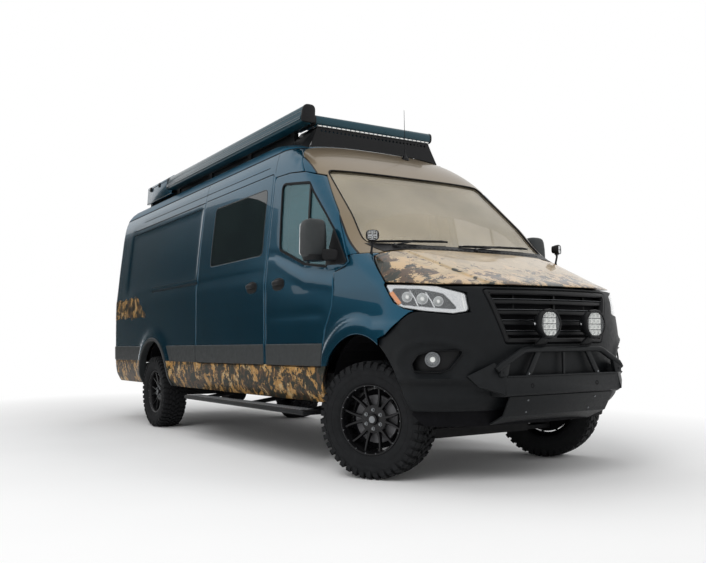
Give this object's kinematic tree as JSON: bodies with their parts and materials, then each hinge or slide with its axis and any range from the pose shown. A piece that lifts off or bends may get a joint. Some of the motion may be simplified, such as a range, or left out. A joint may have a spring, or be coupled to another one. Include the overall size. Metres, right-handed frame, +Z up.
{
  "type": "camper van",
  "caption": "High-roof four-wheel-drive camper van with hinged doors and hood, steered front wheels, steel bumper, roof rack, awning and side steps.",
  "frame": {"origin": "middle of the bounding box on the ground the tyres stand on", "axes": "+X forward to the nose, +Y to the left side of the van, +Z up"},
  "size_m": [7.072, 2.3796, 3.02],
  "materials": {
    "body_paint": "gloss",
    "bronze_paint": "satin",
    "camouflage_paint": "satin",
    "glass": "tinted",
    "charcoal_plastic": "grained",
    "black_plastic": "satin",
    "lamp_clear": "gloss",
    "lamp_red": "gloss",
    "black_steel": "powder coated",
    "awning_case": "satin",
    "white_plastic": "satin",
    "seat_fabric": "woven",
    "chassis_black": "matte",
    "cast_metal": "rough",
    "rim_black": "satin black",
    "tyre_rubber": "matte"
  },
  "bodies": {
    "van": {"chassis_frame": "chassis_black", "floor_pan": "chassis_black", "wheel_housings": "chassis_black", "body_side_left": "body_paint", "body_side_right": "body_paint", "roof_panel": "body_paint", "windshield_frame": "bronze_paint", "windshield": "glass", "front_fenders": "body_paint", "front_fascia": "charcoal_plastic", "grille": "black_plastic", "front_lamps": "lamp_clear", "sliding_door": "body_paint", "side_glass": "glass", "tail_lamps": "lamp_red", "rear_bumper": "black_steel", "steel_bumper": "black_steel", "bumper_hoop": "black_steel", "skid_plate": "black_steel", "auxiliary_lamps": "lamp_clear", "ditch_lamps": "lamp_clear", "side_steps": "black_steel", "rack_rails": "black_steel", "rack_crossbars": "black_steel", "awning": "awning_case", "roof_light_bar": "black_steel", "roof_box": "body_paint", "roof_air_conditioner": "white_plastic", "antenna": "black_plastic", "wipers": "black_plastic", "dashboard": "black_plastic", "steering_wheel": "black_plastic", "front_seats": "seat_fabric", "engine": "cast_metal", "front_axle": "chassis_black", "rear_axle": "chassis_black"},
    "hood": {"hood": "camouflage_paint"},
    "door_left": {"front_door_left": "body_paint", "door_glass_left": "glass", "mirror_left": "charcoal_plastic"},
    "door_right": {"front_door_right": "body_paint", "door_glass_right": "glass", "mirror_right": "charcoal_plastic"},
    "rear_door_left": {"rear_door_left": "body_paint", "rear_glass_left": "glass"},
    "rear_door_right": {"rear_door_right": "body_paint", "rear_glass_right": "glass"},
    "knuckle_left": {"knuckle_left": "cast_metal"},
    "knuckle_right": {"knuckle_right": "cast_metal"},
    "wheel_front_left": {"rim_front_left": "rim_black", "tyre_front_left": "tyre_rubber"},
    "wheel_front_right": {"rim_front_right": "rim_black", "tyre_front_right": "tyre_rubber"},
    "wheel_rear_left": {"rim_rear_left": "rim_black", "tyre_rear_left": "tyre_rubber"},
    "wheel_rear_right": {"rim_rear_right": "rim_black", "tyre_rear_right": "tyre_rubber"}
  },
  "joints": [
    {"name": "steer_left", "type": "hinge", "parent": "van", "child": "knuckle_left", "pos_m": [2.488, 0.78, 0.4], "axis": [0, 0, 1], "range_deg": [-61, 9]},
    {"name": "steer_right", "type": "hinge", "parent": "van", "child": "knuckle_right", "pos_m": [2.488, -0.78, 0.4], "axis": [0, 0, 1], "range_deg": [-61, 9]},
    {"name": "spin_front_left", "type": "hinge", "parent": "knuckle_left", "child": "wheel_front_left", "pos_m": [2.44855, 0.86089, 0.4], "axis": [-0.4384, 0.8988, 0], "continuous": true},
    {"name": "spin_front_right", "type": "hinge", "parent": "knuckle_right", "child": "wheel_front_right", "pos_m": [2.52745, -0.86089, 0.4], "axis": [-0.4384, 0.8988, 0], "continuous": true},
    {"name": "spin_rear_left", "type": "hinge", "parent": "van", "child": "wheel_rear_left", "pos_m": [-1.837, 0.87, 0.4], "axis": [0, 1, 0], "continuous": true},
    {"name": "spin_rear_right", "type": "hinge", "parent": "van", "child": "wheel_rear_right", "pos_m": [-1.837, -0.87, 0.4], "axis": [0, 1, 0], "continuous": true},
    {"name": "front_door_left_hinge", "type": "hinge", "parent": "van", "child": "door_left", "pos_m": [2.383, 1.004, 1.4], "axis": [0, 0, -1], "range_deg": [0, 70]},
    {"name": "front_door_right_hinge", "type": "hinge", "parent": "van", "child": "door_right", "pos_m": [2.383, -1.004, 1.4], "axis": [0, 0, 1], "range_deg": [0, 70]},
    {"name": "rear_door_left_hinge", "type": "hinge", "parent": "van", "child": "rear_door_left", "pos_m": [-3.471, 0.793, 1.5], "axis": [0, 0, -1], "range_deg": [0, 180]},
    {"name": "rear_door_right_hinge", "type": "hinge", "parent": "van", "child": "rear_door_right", "pos_m": [-3.471, -0.793, 1.5], "axis": [0, 0, 1], "range_deg": [0, 180]},
    {"name": "hood_hinge", "type": "hinge", "parent": "van", "child": "hood", "pos_m": [2.583, 0, 1.596], "axis": [0, -1, 0], "range_deg": [0, 60]}
  ],
  "couplings": [
    {"joint": "steer_right", "follows": "steer_left", "ratio": 1}
  ]
}
